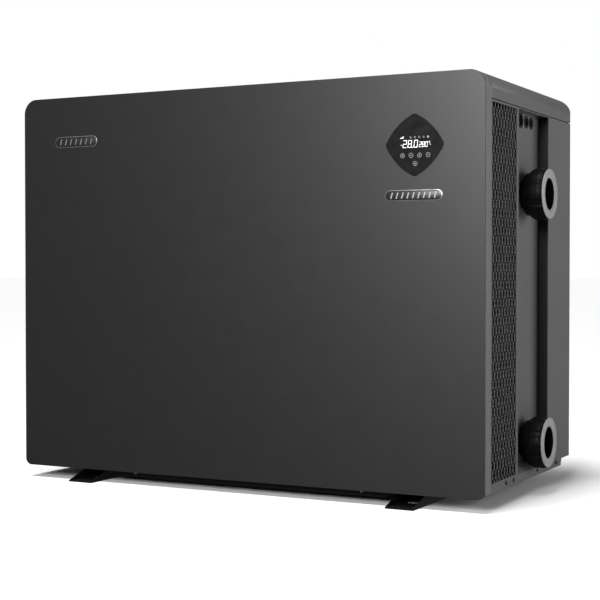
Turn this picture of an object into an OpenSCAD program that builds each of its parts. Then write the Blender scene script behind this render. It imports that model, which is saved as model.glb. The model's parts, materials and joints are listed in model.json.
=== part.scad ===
// Side-discharge pool heat pump: flat front panel, perforated outlet strips at both front
// corners, finned air intake at the rear and water unions in a recess on the right side.
// Frame: +X right, +Y to the rear, +Z up. The origin is on the ground, centred under the unit.

/* [Cabinet] */
// Width of the cabinet and of its front panel
cab_w = 837; // [800:1:900]
// Depth from the front panel's face to the rear
cab_d = 425; // [410:1:470]
// Height of the front panel
cab_h = 627.5; // [610:0.5:660]
// Clearance between the ground and the front panel's lower edge
ground_h = 20.5; // [18:0.5:40]
// Corner radius of the roof and the panel's upper corners
top_r = 24.5; // [12:0.5:26]
// Corner radius of the panel's lower corners
low_r = 11.5; // [6:0.5:16]
// Depth of the frame behind the front panel
frame_d = 27; // [24:1:30]
// Height of the lid's skirt
skirt_h = 39.9; // [34:0.1:44]

/* [Sheet metal] */
// Thickness of the painted steel sheet
sheet = 1.5; // [1.2:0.1:1.8]
// Thickness of the front panel
panel_t = 3; // [2:0.5:3]
// Gap between the lid's skirt and the sides
seam = 1.4; // [0.8:0.1:2]

/* [Service recess] */
// Distance from the front panel to the recess
recess_y = 148; // [146:1:152]
// Length of the recess
recess_l = 155; // [150:1:160]
// Depth of the recess
recess_x = 16; // [14:1:18]
// Height of the recess floor's lower edge
recess_z = 20; // [18.5:0.5:20.5]

/* [Outlet grilles] */
// Width of a perforated strip
grille_w = 112; // [100:1:114]
// Diameter of a hole
hole_d = 9; // [6:0.5:10]
// Distance between holes
hole_pitch = 14; // [13:0.5:20]

/* [Water unions] */
// Height of the lower union
water_low_z = 62; // [62:1:70]
// Distance between the unions
water_span = 394; // [380:1:396]
// Distance from the front panel to the unions' axes
water_y = 225; // [222:1:228]
// How far the unions reach past the side
union_reach = 27; // [26:0.5:30]
// Bore of the pipe socket, for 50 mm pipe
socket_d = 50.2; // [50.1:0.1:50.4]
// Depth of the pipe socket
socket_l = 31; // [30:0.5:31]
// Outside diameter of the union nut
nut_d = 82; // [80:1:84]

/* [Display] */
// Width across the display's corners
display_w = 92; // [86:1:96]
// Distance of the display's centre from the cabinet's centre
display_x = 307.5; // [290:0.5:312]
// Height of the display's centre
display_z = 521; // [510:1:530]

/* [Fan] */
// Diameter of the impeller
fan_d = 416; // [380:2:420]
// Number of blades
blades = 7; // [5:1:9]
// Distance of the fan's axis from the cabinet's centre
fan_x = -40; // [-60:5:-30]
// Height of the fan's axis
fan_z = 300; // [280:5:320]

/* [Feet] */
// Width of a foot channel
foot_w = 46; // [40:1:50]
// Distance between the two feet
foot_span = 582; // [560:1:600]
// How far a foot stands out in front and behind
foot_out = 18; // [12:1:20]
// Diameter of an anchor hole
anchor_d = 12; // [10:0.5:13]

/* [Hidden] */
$fn = 64;

touch = 0.01;          // overrun of a cutter past the face that it opens
run_gap = 0.05;        // radial clearance of a shaft in its bearing
play = 0.3;            // clearance between bodies that move past each other
screw_h = 1.6;
cab_x = (screw_h - union_reach) / 2;   // the left side ends in its screw heads
front_y = -cab_d / 2;
side_x = cab_w / 2;
inner_x = side_x - sheet;
seam_z = cab_h - skirt_h;
side_top = seam_z - seam;
side_low = 5.6;
pan_top = side_low + sheet;
rear_r = 2;
notch_y = 376;         // start of the notch below the rear right corner
notch_z = 17;
intake_y = 166;        // intake window in the left side
intake_l = 236;
rear_split = 172;      // the guard ends and the rear panel starts here
rear_lip = 12;         // return flange behind the rounded rear corner

// Outlet grilles
grille_y = frame_d + 2;
grille_z = 20;
grille_h = side_top - grille_z - 3;

// Recess and unions
recess_floor = side_x - recess_x;
recess_end = recess_y + recess_l;
slope_t = 0.7 * sheet;
recess_slope_z = recess_z + 14;   // top of the slope that leads from the floor out to the side
water_high_z = water_low_z + water_span;
union_x = side_x + union_reach;
neck_r = 24;
bore_r = 20;
stub_collar_r = 34;
stub_collar_l = 7;
stub_thread_r = 33;
tail_r = 29.4;
tail_flange_r = 32.6;
o_ring_r = 1;
o_ring_at = 31.4;
face_r = 39.5;
face_t = 2;
nut_l = 26.2;
nut_x = union_x - face_t - play - nut_l;
stub_face = union_x - 14.5;
cable_z = 572.2;
cable_y = [205, 233, 257];
cable_r = [9, 7, 7];
grommet_t = 1.6;

// Fan
fan_r = fan_d / 2;
plenum_back = recess_y + sheet;
eye_r = 150;
ring_r = 146;
cup_r = 62;
disc_y = 52;
cup_y = 100;
hub_y = 111;
shroud_y = 133;
shaft_r = 8;
stud_r = 5;
motor_r = 54;
motor_y = frame_d + 3;
motor_bolt_r = 60;

// Evaporator
coil_t = 38;
coil_back = cab_d - 7;
coil_left = -side_x + 6;
coil_end_x = 160;
coil_end_y = 172;
coil_z = pan_top + 6;
coil_h = 556;
bend_rows = 13;

// Right-hand compartment
partition_x = 178;
compressor_pos = [250, 352];
compressor_r = 58;
compressor_z = 34;
compressor_h = 262;
exchanger_pos = [318, water_y];
exchanger_r = 69;
exchanger_rim = 4;
exchanger_wall = 4;
exchanger_top = 486;
box_z = 512;
box_y = 256;
paddle_pivot_z = 468;
valve_y = 398;
valve_z = 400;
port_low = 36;         // how far the three lower ports reach below the reversing valve
expansion_pos = [206, 300];
expansion_z = 330;
drier_pos = [202, 232];
drier_z = [200, 270];
accumulator_pos = [346, 364];
accumulator_z = [70, 220];
accumulator_r = 33;
drier_r = 13;
mount_angles = [30, 150, 270];
mount_r = 59;          // bolt circle of the compressor's rubber mounts
crank_r = 9;
drain_pos = [0, 300];
drain_r = 10;

// Fasteners
screw_r = 3.4;
shank_r = 1.6;
side_screw_y = [94.6, 129.4, 246.8, 348.3];
side_screw_z = 13.4;
apron_screw_x = 209;
apron_screw_z = -4;
foot_bolt_y = [120, 305];
foot_bolt_x = foot_w / 2 + 6;
rear_screw_x = [rear_split + 20, side_x - rear_r - rear_lip - 20];

// ---- helpers -------------------------------------------------------------

// Everything is drawn from the middle of the front panel's lower edge: x across,
// y behind the panel's face, z above its lower edge.
module in_cabinet() {
    translate([cab_x, front_y, ground_h]) children();
}

// Block between two opposite corners
module block(a, b) {
    translate(a) cube(b - a);
}

// Rectangle between two opposite corners
module rect(a, b) {
    translate(a) square(b - a);
}

// Sheet parallel to the front, drawn in x and z, from y to y + t
module front_sheet(y, t) {
    translate([0, y + t, 0]) rotate([90, 0, 0]) linear_extrude(t) children();
}

// Sheet parallel to the sides, drawn in y and z, from x to x + t
module side_sheet(x, t) {
    translate([x, 0, 0]) rotate([90, 0, 90]) linear_extrude(t) children();
}

// Round bar along one axis, starting at p
module bar_x(p, r, l) {
    translate(p) rotate([0, 90, 0]) cylinder(r = r, h = l);
}
module bar_y(p, r, l) {
    translate(p) rotate([-90, 0, 0]) cylinder(r = r, h = l);
}
module bar_z(p, r, l) {
    translate(p) cylinder(r = r, h = l);
}

module tube_x(p, r, bore, l) {
    difference() {
        bar_x(p, r, l);
        bar_x(p - [touch, 0, 0], bore, l + 2 * touch);
    }
}
module tube_y(p, r, bore, l) {
    difference() {
        bar_y(p, r, l);
        bar_y(p - [0, touch, 0], bore, l + 2 * touch);
    }
}
module tube_z(p, r, bore, l) {
    difference() {
        bar_z(p, r, l);
        bar_z(p - [0, 0, touch], bore, l + 2 * touch);
    }
}

// Rectangle with its own radius for the upper and for the lower corners
module rounded_face(x0, x1, z0, z1, rt, rb) {
    rect([x0, z0 + rb], [x1, z1 - rt]);
    rect([x0 + rb, z0], [x1 - rb, z1 - rt]);
    rect([x0 + rt, z0 + rb], [x1 - rt, z1]);
    for (x = [x0 + rt, x1 - rt]) translate([x, z1 - rt]) circle(r = rt);
    for (x = [x0 + rb, x1 - rb]) translate([x, z0 + rb]) circle(r = rb);
}

module panel_outline(inset) {
    rounded_face(-side_x + inset, side_x - inset, inset, cab_h - inset,
        top_r - inset, max(low_r - inset, 2));
}

// Square on its corner with softly rounded corners and bulging sides
module diamond(w) {
    bulge_r = w * 1.033;
    off = bulge_r - w * 0.424;
    corner_r = w * 0.07;
    offset(r = corner_r, $fn = 48) offset(delta = -corner_r) intersection_for(a = [45 : 90 : 315])
        rotate(a) translate([off, 0]) circle(r = bulge_r, $fn = 160);
}

// Soft copper pipe through a list of points
module pipe(points, r) {
    for (i = [0 : len(points) - 2]) hull() {
        translate(points[i]) sphere(r = r, $fn = 10);
        translate(points[i + 1]) sphere(r = r, $fn = 10);
    }
}

// ---- casing --------------------------------------------------------------

module front_panel() {
    color("#4a4a4a") in_cabinet() front_sheet(0, panel_t) difference() {
        panel_outline(0);
        translate([display_x, display_z]) diamond(display_w + 2 * play);
    }
}

module panel_gasket() {
    color("#151515") in_cabinet() front_sheet(panel_t, 1) difference() {
        panel_outline(1.5);
        rounded_face(-side_x + 11, side_x - 11, 14, cab_h - 11, 14, 2);
    }
}

module front_frame() {
    y = panel_t + 1;
    color("#6a6a6a") in_cabinet() difference() {
        front_sheet(y, frame_d - y)
            rounded_face(-side_x, side_x, side_low, cab_h, top_r, 2);
        front_sheet(y - touch, frame_d - y + 2 * touch)
            rounded_face(-side_x + 12, side_x - 12, 18, cab_h - 12, 13, 2);
    }
}

// Solid inside the lid's skin, shrunk by inset on every covered side
module lid_form(inset) {
    rear = cab_d - inset;
    wide = side_x - inset;
    high = cab_h - inset;
    r = top_r - inset;
    low = seam_z - (inset > 0 ? touch : 0);
    start = frame_d - (inset > 0 ? touch : 0);
    intersection() {
        front_sheet(start, rear - start) {
            rect([-wide, low], [wide, high - r]);
            rect([-wide + r, low], [wide - r, high]);
            for (x = [-wide + r, wide - r]) translate([x, high - r]) circle(r = r);
        }
        side_sheet(-side_x, cab_w) {
            rect([start, low], [rear, high - r]);
            rect([start, low], [rear - r, high]);
            translate([rear - r, high - r]) circle(r = r);
        }
        translate([0, 0, low]) linear_extrude(skirt_h + 1) {
            rect([-wide, start], [wide, rear - rear_r]);
            rect([-wide + rear_r, start], [wide - rear_r, rear]);
            for (x = [-wide + rear_r, wide - rear_r])
                translate([x, rear - rear_r]) circle(r = rear_r);
        }
    }
}

module lid() {
    color("#6b6b6b") in_cabinet() difference() {
        lid_form(0);
        lid_form(sheet);
    }
}

// Screw holes along the lower edge of a side
module side_screw_holes(x) {
    for (y = side_screw_y) bar_x([x - 2, y, side_screw_z], shank_r, 2 * sheet + 4);
}

module grille_window(x) {
    block([x - 2, grille_y, grille_z], [x + 4, grille_y + grille_w, grille_z + grille_h]);
}

// Rear corner shared by both side panels: a rounded post with a return flange
module corner_plan(z0, z1) {
    translate([0, 0, z0]) linear_extrude(z1 - z0) {
        rect([inner_x, recess_end - sheet], [side_x, cab_d - rear_r]);
        rect([side_x - rear_r - rear_lip, cab_d - sheet], [side_x - rear_r, cab_d]);
        translate([side_x - rear_r, cab_d - rear_r]) intersection() {
            difference() {
                circle(r = rear_r);
                circle(r = rear_r - sheet);
            }
            square(rear_r);
        }
    }
}

module right_side_panel() {
    color("#666666") in_cabinet() difference() {
        union() {
            block([inner_x, frame_d, side_low], [side_x, recess_y, side_top]);
            block([recess_floor - sheet, recess_y, recess_z - sheet],
                [side_x, recess_y + sheet, side_top]);
            block([recess_floor - sheet, recess_y, recess_z - sheet],
                [recess_floor, recess_end, side_top]);
            block([recess_floor - sheet, recess_end - sheet, recess_z - sheet],
                [side_x, recess_end, side_top]);
            block([recess_floor - sheet, recess_y, side_top - sheet],
                [side_x, recess_end, side_top]);
            front_sheet(recess_y, recess_l) polygon([
                [side_x, recess_z - sheet], [recess_floor, recess_slope_z],
                [recess_floor - slope_t, recess_slope_z - slope_t],
                [side_x - slope_t, recess_z - sheet - slope_t]]);
            block([inner_x, recess_y, side_low], [side_x, recess_end, recess_z - sheet]);
            corner_plan(side_low, side_top);
        }
        block([inner_x - 30, notch_y, side_low - 1], [side_x + 1, cab_d + 1, notch_z]);
        grille_window(inner_x);
        side_screw_holes(inner_x);
        for (z = [water_low_z, water_high_z])
            bar_x([recess_floor - 4, water_y, z], neck_r + play, 8);
        for (i = [0 : 2])
            bar_x([recess_floor - 4, cable_y[i], cable_z], cable_r[i] + grommet_t, 8);
    }
}

// Staggered round holes in a flat strip
module perforation() {
    rows = floor((grille_h - 8) / (hole_pitch * 0.866));
    cols = floor((grille_w - hole_pitch / 2 - 6) / hole_pitch);
    margin_y = (grille_w - (cols - 0.5) * hole_pitch) / 2;
    margin_z = (grille_h - (rows - 1) * hole_pitch * 0.866) / 2;
    difference() {
        square([grille_w, grille_h]);
        for (r = [0 : rows - 1], c = [0 : cols - 1])
            translate([margin_y + (c + (r % 2) / 2) * hole_pitch,
                margin_z + r * hole_pitch * 0.866])
                circle(d = hole_d, $fn = 24);
    }
}

module right_grille() {
    color("#3c3c3c") in_cabinet() side_sheet(inner_x, sheet)
        translate([grille_y, grille_z]) perforation();
}

module left_grille() {
    color("#3c3c3c") in_cabinet() side_sheet(-side_x, sheet)
        translate([grille_y, grille_z]) perforation();
}

// The left side has the second outlet strip and, behind it, a window for the intake
module left_side_panel() {
    color("#5a5a5a") in_cabinet() difference() {
        union() {
            block([-side_x, frame_d, side_low], [-inner_x, recess_end, side_top]);
            mirror([1, 0, 0]) corner_plan(side_low, side_top);
        }
        grille_window(-side_x);
        side_screw_holes(-side_x);
        block([-side_x - 1, intake_y, grille_z],
            [-inner_x + 1, intake_y + intake_l, grille_z + grille_h]);
    }
}

// Flat guard of upright and level bars
module bar_guard(w, h, cols, rows) {
    rim = 8;
    bar = 3;
    step_x = (w - 2 * rim + bar) / cols;
    step_z = (h - 2 * rim + bar) / rows;
    difference() {
        square([w, h]);
        for (c = [0 : cols - 1], r = [0 : rows - 1])
            translate([rim + c * step_x, rim + r * step_z])
                square([step_x - bar, step_z - bar]);
    }
}

module left_intake_guard() {
    color("#222222") in_cabinet() side_sheet(-side_x, sheet)
        translate([intake_y, grille_z]) bar_guard(intake_l, grille_h, 7, 8);
}

module rear_guard() {
    x0 = -side_x + rear_r + rear_lip;
    color("#222222") in_cabinet() front_sheet(cab_d - 3, 3)
        translate([x0, pan_top + 2])
            bar_guard(rear_split - x0, side_top - pan_top - 2, 16, 8);
}

module rear_panel() {
    x1 = side_x - rear_r - rear_lip;
    color("#5e5e5e") in_cabinet() difference() {
        union() {
            front_sheet(cab_d - sheet, sheet) rect([rear_split, side_low], [x1, side_top]);
            block([rear_split, cab_d - rear_lip, pan_top], [rear_split + sheet, cab_d, side_top]);
        }
        for (x = rear_screw_x) bar_y([x, cab_d - 4, side_screw_z], shank_r, 8);
    }
}

module base_pan() {
    y0 = frame_d + 0.5;
    wall_h = 14;
    apron_w = 521;
    apron_z = -12;
    color("#3a3a3a") in_cabinet() difference() {
        union() {
            block([-inner_x, y0, side_low], [inner_x, cab_d - sheet, pan_top]);
            for (x = [-inner_x, inner_x - sheet])
                block([x, y0, side_low], [x + sheet, recess_y - 1, pan_top + wall_h]);
            block([-inner_x, recess_y - 1, side_low],
                [-inner_x + sheet, cab_d - 10, pan_top + wall_h]);
            block([-inner_x + 14, cab_d - 3 * sheet - 2, side_low],
                [rear_split - 8, cab_d - 2 * sheet - 2, pan_top + wall_h]);
            front_sheet(y0, sheet) polygon([
                [-apron_w / 2 + 12, apron_z], [apron_w / 2 - 12, apron_z],
                [apron_w / 2, apron_z + 12], [apron_w / 2, pan_top],
                [-apron_w / 2, pan_top], [-apron_w / 2, apron_z + 12]]);
        }
        for (x = [-apron_screw_x, apron_screw_x])
            bar_y([x, y0 - 2, apron_screw_z], shank_r, 8);
        for (x = [-inner_x - 2, inner_x - 4], y = [side_screw_y[0], side_screw_y[1]])
            bar_x([x, y, side_screw_z], shank_r, 8);
        for (y = [side_screw_y[2], side_screw_y[3]])
            bar_x([-inner_x - 2, y, side_screw_z], shank_r, 8);
        for (s = [-1, 1], y = foot_bolt_y, x = [-1, 1])
            bar_z([s * foot_span / 2 + x * foot_bolt_x, y, side_low - 2], 3, 6);
        bar_z([drain_pos[0], drain_pos[1], side_low - 2], drain_r - 2, 6);
        block([inner_x - 30, notch_y, side_low - 1], [inner_x + 1, cab_d + 1, pan_top + 1]);
        block([-side_x, cab_d - rear_r - 1, side_low - 1],
            [-side_x + rear_r + rear_lip + 1, cab_d + 1, pan_top + 1]);
    }
}

// Channel with a flat sole, sloping ends on both walls and lips under the pan. The sole has
// a seat for a rubber mount, an anchor hole and a drip hole at each end.
module foot() {
    t = 2;
    lip_w = 12;
    seat_y = 45;
    anchor_y = 91;
    drip_y = -4;
    low = -ground_h;
    far = cab_d + foot_out;
    slope = 78;
    module side_wall(x) {
        side_sheet(x, t) polygon([
            [-foot_out, low], [far, low], [far, low + t], [far - slope, side_low],
            [slope - foot_out, side_low], [-foot_out, low + t]]);
    }
    color("#101010") difference() {
        union() {
            block([-foot_w / 2, -foot_out, low], [foot_w / 2, far, low + t]);
            side_wall(-foot_w / 2);
            side_wall(foot_w / 2 - t);
            for (x = [-foot_w / 2 - lip_w, foot_w / 2 - t])
                block([x, slope - foot_out, side_low - t],
                    [x + lip_w + t, far - slope, side_low]);
        }
        for (y = [seat_y, cab_d - seat_y]) bar_z([-3, y, low - 1], 11, 4);
        for (y = [anchor_y, cab_d - anchor_y]) bar_z([0, y, low - 1], anchor_d / 2, 4);
        for (y = [drip_y, cab_d - drip_y]) bar_z([0, y, low - 1], 1.5, 4);
        for (y = foot_bolt_y, x = [-1, 1])
            bar_z([x * foot_bolt_x, y, side_low - t - 1], 3, 4);
    }
}

module left_foot() {
    in_cabinet() translate([-foot_span / 2, 0, 0]) foot();
}

module right_foot() {
    in_cabinet() translate([foot_span / 2, 0, 0]) foot();
}

module foot_bolts() {
    color("silver") in_cabinet()
        for (s = [-1, 1], y = foot_bolt_y, x = [-1, 1])
            translate([s * foot_span / 2 + x * foot_bolt_x, y, 0]) {
                bar_z([0, 0, side_low - 6], 6, 4);
                bar_z([0, 0, side_low - 2], 3, pan_top - side_low + 2);
            }
}

// ---- air path --------------------------------------------------------------

module bulkhead() {
    color("#8a8d90") in_cabinet() front_sheet(plenum_back, sheet) difference() {
        rect([-inner_x + sheet + 0.5, pan_top], [recess_floor - sheet, side_top]);
        translate([fan_x, fan_z]) circle(r = eye_r + 12);
        translate([fan_x, fan_z]) for (a = [45 : 90 : 315])
            rotate(a) translate([eye_r + 22, 0]) circle(r = 2.2);
    }
}

// Bellmouth that leads the air into the impeller's eye
module inlet_ring() {
    flange_y = plenum_back + sheet;
    lip_y = shroud_y - 4;
    round_r = 13;
    color("#2a2a2a") in_cabinet() translate([fan_x, flange_y, fan_z])
        rotate([90, 0, 0]) rotate_extrude($fn = 128) {
            rect([ring_r + round_r, -2], [eye_r + 28, 0]);
            rect([ring_r - 2, round_r], [ring_r, flange_y - lip_y]);
            translate([ring_r + round_r, round_r]) intersection() {
                difference() {
                    circle(r = round_r + 2);
                    circle(r = round_r);
                }
                rect([-round_r - 2, -round_r - 2], [0, 0]);
            }
        }
}

module partition() {
    color("#8a8d90") in_cabinet() {
        block([partition_x, plenum_back + sheet, pan_top],
            [partition_x + sheet, cab_d - 14, side_top]);
        block([partition_x + sheet, plenum_back + sheet, pan_top],
            [partition_x + 14, plenum_back + 2 * sheet, side_top]);
    }
}

module motor_bracket() {
    y = frame_d + 0.5;
    t = 2.5;
    rail = 34;
    reach = 78;
    color("#9a9d9f") in_cabinet() difference() {
        front_sheet(y, t) {
            for (x = [fan_x - reach, fan_x + reach])
                rect([x - rail / 2, pan_top], [x + rail / 2, cab_h - 16]);
            rect([fan_x - reach, fan_z - 74], [fan_x + reach, fan_z + 74]);
        }
        bar_y([fan_x, y - 1, fan_z], shaft_r + 3, t + 2);
        for (a = [45 : 90 : 315])
            bar_y([fan_x + motor_bolt_r * cos(a), y - 1, fan_z + motor_bolt_r * sin(a)], 3, t + 2);
    }
}

module fan_motor() {
    y0 = motor_y;
    y1 = 92;
    color("#b9bcbe") in_cabinet() difference() {
        union() {
            bar_y([fan_x, y0, fan_z], motor_r, y1 - y0);
            for (a = [0 : 30 : 330]) translate([fan_x, 0, fan_z]) rotate([0, a, 0])
                block([motor_r - 2, y0 + 6, -1.5], [motor_r + 2.5, y1 - 8, 1.5]);
            for (a = [45 : 90 : 315])
                bar_y([fan_x + motor_bolt_r * cos(a), y0 - 2.5,
                    fan_z + motor_bolt_r * sin(a)], 3, 4);
            front_sheet(y0, 3) translate([fan_x, fan_z]) intersection() {
                circle(r = 66);
                square(110, center = true);
            }
        }
        bar_y([fan_x, y0 + 4, fan_z], shaft_r + run_gap, y1);
    }
}

module fan_shaft() {
    color("#c8ccd0") in_cabinet() {
        bar_y([fan_x, motor_y + 5, fan_z], shaft_r, hub_y - 1 - motor_y - 5);
        bar_y([fan_x, hub_y - 1, fan_z], stud_r, 14);
    }
}

// Plan of one blade: an arc that leans back from the eye to the rim
module blade_plan(inner, outer) {
    lean = 32;
    arc_r = 118;
    blade_t = 3;
    from = [inner, 0];
    to = outer * [cos(lean), -sin(lean)];
    chord = to - from;
    half = norm(chord) / 2;
    towards_axis = [chord[1], -chord[0]] / norm(chord);
    centre = (from + to) / 2 + sqrt(arc_r * arc_r - half * half) * towards_axis;
    intersection() {
        difference() {
            circle(r = outer, $fn = 128);
            circle(r = inner, $fn = 128);
        }
        difference() {
            translate(centre) circle(r = arc_r, $fn = 128);
            translate(centre) circle(r = arc_r - blade_t, $fn = 128);
        }
        rotate(atan2(centre[1], centre[0])) rect([0, 0], [outer, outer]);
    }
}

// Backward-curved blades between a hub disc with a motor cup and a ring shroud
module impeller() {
    inner = eye_r + 3;
    wall = 3;
    color("#2b2f33") in_cabinet() translate([fan_x, 0, fan_z]) difference() {
        union() {
            tube_y([0, disc_y, 0], fan_r, cup_r - wall, wall);
            tube_y([0, disc_y, 0], cup_r, cup_r - wall, cup_y - disc_y);
            bar_y([0, cup_y - wall, 0], cup_r, wall);
            bar_y([0, cup_y - wall, 0], 2 * shaft_r, hub_y - cup_y + wall);
            tube_y([0, shroud_y, 0], fan_r, inner, wall);
            front_sheet(disc_y + wall, shroud_y - disc_y - wall)
                for (i = [0 : blades - 1]) rotate(i * 360 / blades) blade_plan(inner, fan_r - 2);
        }
        bar_y([0, disc_y, 0], stud_r, hub_y);
        bar_y([0, disc_y, 0], shaft_r, hub_y - 1 - disc_y);
    }
}

module impeller_nut() {
    h = 6;
    color("silver") in_cabinet() translate([fan_x, hub_y, fan_z]) difference() {
        rotate([-90, 0, 0]) cylinder(r = 9, h = h, $fn = 6);
        bar_y([0, -1, 0], stud_r, h + 2);
    }
}

// ---- evaporator ------------------------------------------------------------

// Plan of the finned block, wrapped round the rear left corner
module evaporator_fins() {
    bend = 62;
    color("#a9b4ba") in_cabinet() translate([0, 0, coil_z]) linear_extrude(coil_h) {
        rect([coil_left, coil_end_y], [coil_left + coil_t, coil_back - bend]);
        rect([coil_left + bend, coil_back - coil_t], [coil_end_x, coil_back]);
        translate([coil_left + bend, coil_back - bend]) intersection() {
            difference() {
                circle(r = bend, $fn = 96);
                circle(r = bend - coil_t, $fn = 96);
            }
            rect([-bend, 0], [0, bend]);
        }
    }
}

// End plates and copper return bends at both ends of the finned block
module evaporator_bends() {
    plate = 1.5;
    tube_r = 3.6;
    pitch = coil_h / bend_rows;
    color("#b87443") in_cabinet() {
        block([coil_end_x, coil_back - coil_t, coil_z],
            [coil_end_x + plate, coil_back, coil_z + coil_h]);
        block([coil_left, coil_end_y - plate, coil_z],
            [coil_left + coil_t, coil_end_y, coil_z + coil_h]);
        for (i = [0 : bend_rows - 1]) {
            translate([coil_end_x + plate, coil_back - coil_t / 2, coil_z + (i + 0.5) * pitch])
                rotate([0, 90, 0]) half_ring(8, tube_r);
            translate([coil_left + coil_t / 2, coil_end_y - plate, coil_z + (i + 0.5) * pitch])
                rotate([90, 0, 0]) rotate(90) half_ring(8, tube_r);
        }
    }
}

// Return bend that stands up from the xy plane
module half_ring(r, tube_r) {
    rotate([90, 0, 90]) rotate_extrude(angle = 180, $fn = 32)
        translate([r, 0]) circle(r = tube_r, $fn = 24);
}

// ---- compressor ------------------------------------------------------------

module at_compressor() {
    in_cabinet() translate([compressor_pos[0], compressor_pos[1], 0]) children();
}

module compressor_shell() {
    wall = 4;
    r = compressor_r;
    z0 = compressor_z;
    top = z0 + compressor_h;
    color("#1c1c1c") at_compressor() {
        difference() {
            union() {
                bar_z([0, 0, z0], r, compressor_h - 24);
                intersection() {
                    bar_z([0, 0, top - 30], r, 30);
                    translate([0, 0, top - 84]) sphere(r = 84, $fn = 96);
                }
            }
            bar_z([0, 0, z0 + wall], r - wall, compressor_h - 24 - wall);
        }
        difference() {
            bar_z([0, 0, z0 - 4], r + 10, 4);
            for (a = mount_angles)
                bar_z([mount_r * cos(a), mount_r * sin(a), z0 - 5], 5, 6);
            bar_z([0, 0, z0 - 5], r - 14, 6);
        }
    }
}

module compressor_stator() {
    color("#b87443") at_compressor()
        tube_z([0, 0, 176], compressor_r - 4, 34, 62);
}

module compressor_bearings() {
    color("#777a7d") at_compressor() {
        tube_z([0, 0, 132], compressor_r - 4, crank_r + run_gap, 16);
        tube_z([0, 0, 74], compressor_r - 4, crank_r + run_gap, 14);
        tube_z([0, 0, 92], compressor_r - 4, 28, 36);
    }
}

// Rotor, crankshaft and the eccentric inside the pump
module compressor_rotor() {
    color("#9ea3a8") at_compressor() {
        bar_z([0, 0, 60], crank_r, 196);
        bar_z([0, 0, 178], 33.4, 58);
        bar_z([4, 0, 94], 20, 32);
    }
}

module compressor_grommets() {
    color("#181818") at_compressor() for (a = mount_angles)
        translate([mount_r * cos(a), mount_r * sin(a), 0]) {
            bar_z([0, 0, pan_top], 9, compressor_z - 4 - pan_top);
            bar_z([0, 0, compressor_z - 4], 5, 4);
        }
}

module accumulator() {
    p = accumulator_pos;
    color("#1c1c1c") in_cabinet() {
        bar_z([p[0], p[1], accumulator_z[0]], accumulator_r, accumulator_z[1] - accumulator_z[0]);
        for (z = accumulator_z) translate([p[0], p[1], z]) sphere(r = accumulator_r);
    }
}

// ---- refrigerant circuit -----------------------------------------------------

module reversing_valve() {
    x0 = 214;
    color("#b87443") in_cabinet() difference() {
        union() {
            bar_x([x0, valve_y, valve_z], 13, 96);
            bar_z([x0 + 48, valve_y, valve_z + 8], 5, 30);
            for (i = [-1 : 1]) bar_z([x0 + 48 + i * 18, valve_y, valve_z - port_low], 5, 28);
        }
        bar_x([x0 + 3, valve_y, valve_z], 10, 90);
    }
}

module reversing_slide() {
    color("#d8d4c8") in_cabinet() {
        for (x = [219, 259]) bar_x([x, valve_y, valve_z], 10 - run_gap, 6);
        bar_x([225, valve_y, valve_z], 4, 34);
    }
}

module at_expansion() {
    translate([expansion_pos[0], expansion_pos[1], expansion_z]) children();
}

module expansion_valve() {
    color("#b08a4a") in_cabinet() at_expansion() difference() {
        union() {
            bar_z([0, 0, 0], 9, 62);
            bar_x([-4, 0, 12], 4, 24);
        }
        bar_z([0, 0, 14], 3, 40);
    }
}

module expansion_needle() {
    color("#c8ccd0") in_cabinet() at_expansion() bar_z([0, 0, 16], 3 - run_gap, 30);
}

module valve_coils() {
    color("#17304f") in_cabinet() {
        at_expansion() tube_z([0, 0, 32], 19, 9, 24);
        difference() {
            block([230, valve_y - 38, valve_z - 12], [262, valve_y - 13.2, valve_z + 12]);
            bar_x([229, valve_y - 26, valve_z], 5, 40);
        }
    }
}

module filter_drier() {
    p = drier_pos;
    color("#b87443") in_cabinet() {
        bar_z([p[0], p[1], drier_z[0]], drier_r, drier_z[1] - drier_z[0]);
        for (z = drier_z) translate([p[0], p[1], z]) sphere(r = drier_r);
    }
}

module refrigerant_pipes() {
    hot_r = 4.5;
    cold_r = 5.5;
    liquid_r = 3.5;
    top = compressor_z + compressor_h;
    c = compressor_pos;
    a = accumulator_pos;
    a_top = accumulator_z[1] + accumulator_r;
    d = drier_pos;
    d_top = drier_z[1] + drier_r;
    e = expansion_pos;
    ports_z = valve_z - port_low;
    x = exchanger_pos[0] - exchanger_r - liquid_r - 0.3;
    color("#b87443") in_cabinet() {
        // discharge to the reversing valve
        pipe([[c[0], c[1], top + hot_r], [c[0], c[1], 330], [254, 384, 348],
            [244, valve_y, ports_z - hot_r]], hot_r);
        // suction to the accumulator
        pipe([[a[0], a[1], a_top + cold_r], [a[0], a[1], 335], [310, 392, 348],
            [280, valve_y, ports_z - cold_r]], cold_r);
        // liquid line through the drier and the expansion valve
        pipe([[d[0], d[1], d_top + liquid_r], [d[0], d[1], 312], [e[0], e[1] - 10, 318],
            [e[0], e[1], expansion_z - liquid_r]], liquid_r);
        pipe([[e[0] + 20 + liquid_r, e[1], expansion_z + 12], [240, e[1], expansion_z + 12],
            [248, 296, 420], [x, water_y + 6, 440]], liquid_r);
    }
}

// ---- water side --------------------------------------------------------------

module exchanger_shell() {
    r = exchanger_r;
    color("#202326") in_cabinet() translate([exchanger_pos[0], exchanger_pos[1], 0])
        difference() {
            union() {
                bar_z([0, 0, pan_top + 3], r, exchanger_top - pan_top - 3);
                bar_z([0, 0, exchanger_top - 14], r + exchanger_rim, 14);
                bar_z([0, 0, pan_top], r - 10, 3);
            }
            bar_z([0, 0, pan_top + 9], r - exchanger_wall, exchanger_top);
            for (z = [water_low_z, water_high_z]) bar_x([30, 0, z], neck_r, 60);
        }
}

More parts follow.
